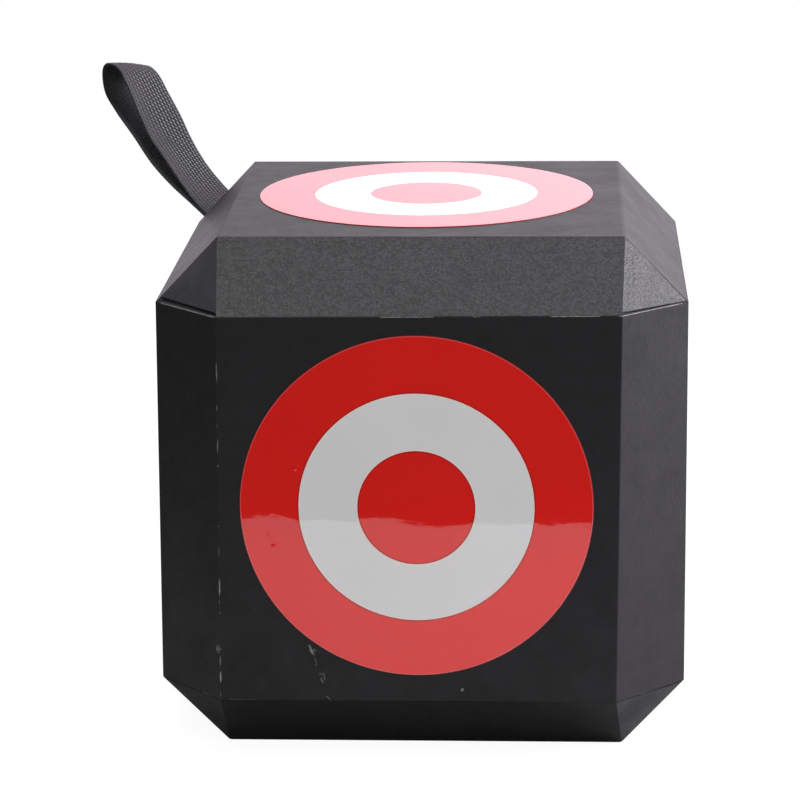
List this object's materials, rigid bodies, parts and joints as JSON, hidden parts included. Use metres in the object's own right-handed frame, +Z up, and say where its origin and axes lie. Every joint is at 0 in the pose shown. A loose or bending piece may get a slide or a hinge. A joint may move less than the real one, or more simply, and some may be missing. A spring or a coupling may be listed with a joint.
{
  "type": "archery target boss",
  "caption": "Black foam cube target with bevelled edges, cut corners, red and white ring targets on its faces and a webbing carry loop at one top corner.",
  "frame": {"origin": "on the ground under the middle of the block, at the outer face of the bottom label, which is the lowest face", "axes": "+Z up; the main target face looks towards -Y, so +Y runs through the block to its back; +X is to the right as one looks at the main face. The carry loop leaves the back left top corner."},
  "size_m": [0.2845, 0.2857, 0.2681],
  "materials": {
    "foam_skin": "matte",
    "foam_core": "matte",
    "red_print": "gloss",
    "white_print": "gloss",
    "webbing": "matte"
  },
  "bodies": {
    "block": {"side_wrap": "foam_skin", "top_sheet": "foam_skin", "bottom_sheet": "foam_skin", "front_top_strip": "foam_skin", "back_top_strip": "foam_skin", "front_bottom_strip": "foam_skin", "back_bottom_strip": "foam_skin", "front_left_top_triangle": "foam_skin", "front_right_top_triangle": "foam_skin", "back_left_top_triangle": "foam_skin", "back_right_top_triangle": "foam_skin", "front_left_bottom_triangle": "foam_skin", "front_right_bottom_triangle": "foam_skin", "back_left_bottom_triangle": "foam_skin", "back_right_bottom_triangle": "foam_skin", "core_slab_1": "foam_core", "core_slab_2": "foam_core", "core_slab_3": "foam_core", "core_slab_4": "foam_core", "front_outer_ring": "red_print", "front_middle_ring": "white_print", "front_bull": "red_print", "back_outer_ring": "red_print", "back_middle_ring": "white_print", "back_bull": "red_print", "left_outer_ring": "red_print", "left_middle_ring": "white_print", "left_bull": "red_print", "right_outer_ring": "red_print", "right_middle_ring": "white_print", "right_bull": "red_print", "top_outer_ring": "red_print", "top_middle_ring": "white_print", "top_bull": "red_print", "bottom_outer_ring": "red_print", "bottom_middle_ring": "white_print", "bottom_bull": "red_print", "strap_tails": "webbing"},
    "strap": {"strap_loop": "webbing"}
  },
  "joints": [
    {"name": "strap_swing", "type": "hinge", "parent": "block", "child": "strap", "pos_m": [-0.10193, 0.10193, 0.20047], "axis": [0.7071, 0.7071, 0], "range_deg": [-98, 78], "stiffness_Nm_per_rad": 0.02}
  ]
}
